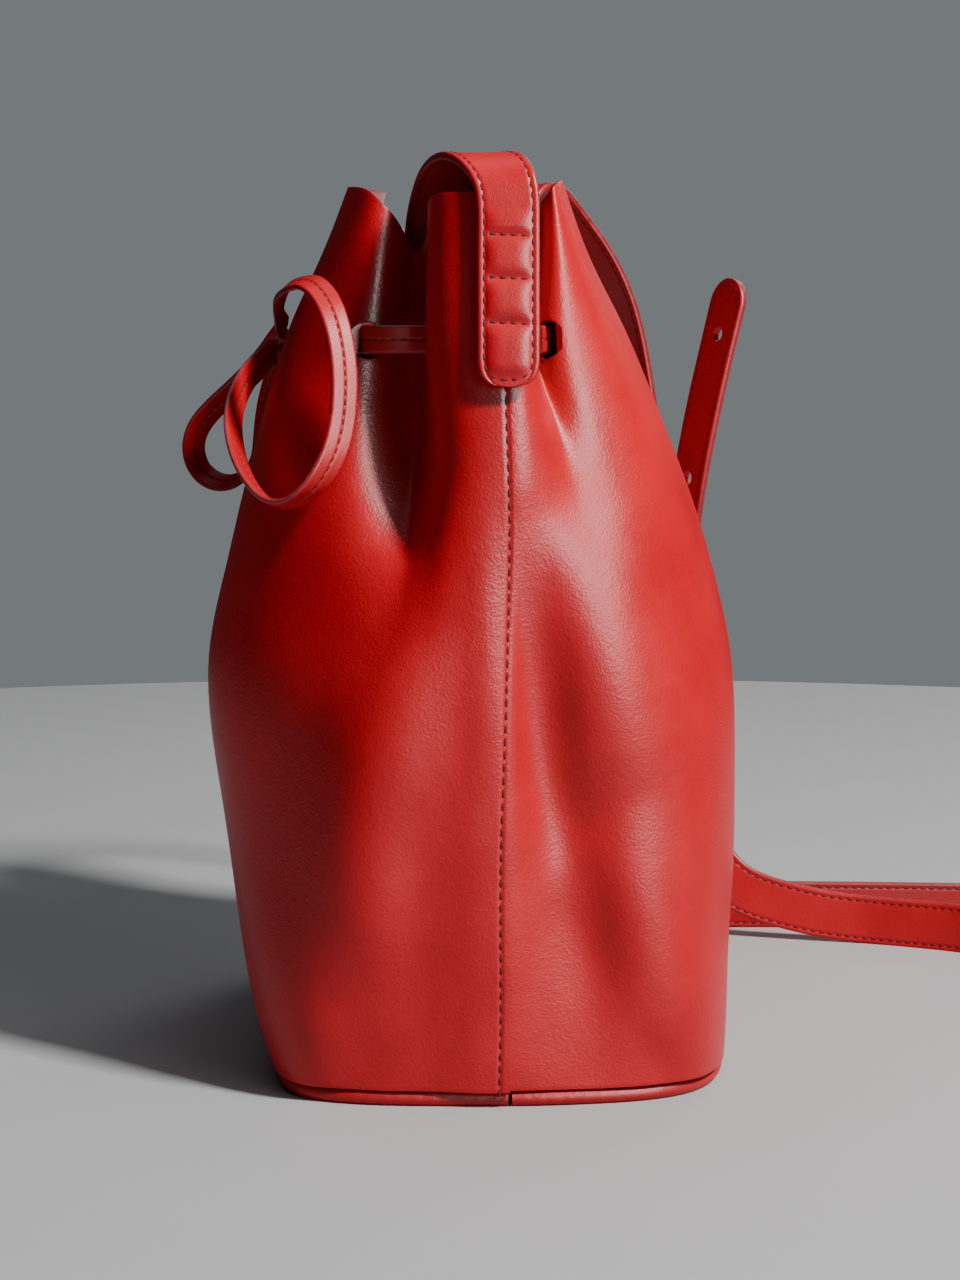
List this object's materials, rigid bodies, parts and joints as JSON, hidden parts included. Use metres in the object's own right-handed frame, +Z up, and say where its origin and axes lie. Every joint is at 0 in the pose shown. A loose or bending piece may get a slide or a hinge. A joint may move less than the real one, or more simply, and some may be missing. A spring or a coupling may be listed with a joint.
{
  "type": "drawstring bucket bag",
  "caption": "Leather bucket bag with a drawstring mouth gathered into folds, a bow in front, a short sewn strap tucked inside and a long holed strap lying beside it.",
  "frame": {"origin": "centre of the base's underside, on the surface that the bag stands on", "axes": "+X along the bag's width to the side with the short strap, -Y to the front with the bow, +Z up"},
  "size_m": [0.3116, 0.3812, 0.32],
  "materials": {
    "wall_leather": "smooth semi-gloss",
    "base_leather": "smooth semi-gloss",
    "lining_leather": "matte",
    "strap_leather": "smooth semi-gloss",
    "lace_leather": "smooth semi-gloss",
    "stiffener": "bare fibreboard",
    "brass": "polished"
  },
  "bodies": {
    "bucket": {"base_panel": "base_leather", "base_board": "stiffener", "welt_front": "wall_leather", "welt_back": "wall_leather", "front_gusset_near": "wall_leather", "front_gusset_far": "wall_leather", "back_gusset_near": "wall_leather", "back_gusset_far": "wall_leather", "patch_near": "lining_leather", "patch_far": "lining_leather", "tab_near_outer": "strap_leather", "tab_near_lining": "lining_leather", "lace_side_near": "lace_leather", "lace_side_far": "lace_leather", "long_strap": "strap_leather"},
    "front_wall": {"front_panel": "wall_leather", "lace_front_near": "lace_leather", "lace_front_far": "lace_leather", "lace_knot": "lace_leather"},
    "back_wall": {"back_panel": "wall_leather", "lace_back": "lace_leather"},
    "short_strap": {"short_strap_outer": "strap_leather", "short_strap_lining": "lining_leather", "stud_head": "brass", "stud_screw": "brass"},
    "loop_near": {"bow_loop_near": "lace_leather"},
    "loop_far": {"bow_loop_far": "lace_leather"},
    "end_near": {"lace_end_near": "lace_leather"},
    "end_far": {"lace_end_far": "lace_leather"}
  },
  "joints": [
    {"name": "front_opens", "type": "hinge", "parent": "bucket", "child": "front_wall", "pos_m": [0, -0.0785, 0.0056], "axis": [1, 0, 0], "range_deg": [0, 8]},
    {"name": "back_opens", "type": "hinge", "parent": "bucket", "child": "back_wall", "pos_m": [0, 0.0775, 0.0056], "axis": [-1, 0, 0], "range_deg": [0, 2.5]},
    {"name": "short_strap_lifts", "type": "hinge", "parent": "bucket", "child": "short_strap", "pos_m": [0.1213, 0.002, 0.3033], "axis": [0, 1, 0], "range_deg": [0, 100]},
    {"name": "near_loop_swings", "type": "hinge", "parent": "front_wall", "child": "loop_near", "pos_m": [0.004, -0.0745, 0.2555], "axis": [0, 0, -1], "range_deg": [0, 15]},
    {"name": "far_loop_swings", "type": "hinge", "parent": "front_wall", "child": "loop_far", "pos_m": [-0.004, -0.0745, 0.2555], "axis": [-1, 0, 0], "range_deg": [0, 25]},
    {"name": "near_end_swings", "type": "hinge", "parent": "front_wall", "child": "end_near", "pos_m": [0.0053, -0.0785, 0.247], "axis": [-1, 0, 0], "range_deg": [0, 10]},
    {"name": "far_end_swings", "type": "hinge", "parent": "front_wall", "child": "end_far", "pos_m": [-0.0053, -0.0785, 0.247], "axis": [-1, 0, 0], "range_deg": [0, 10]}
  ],
  "couplings": [
    {"joint": "back_opens", "follows": "front_opens", "ratio": 0.3125}
  ]
}
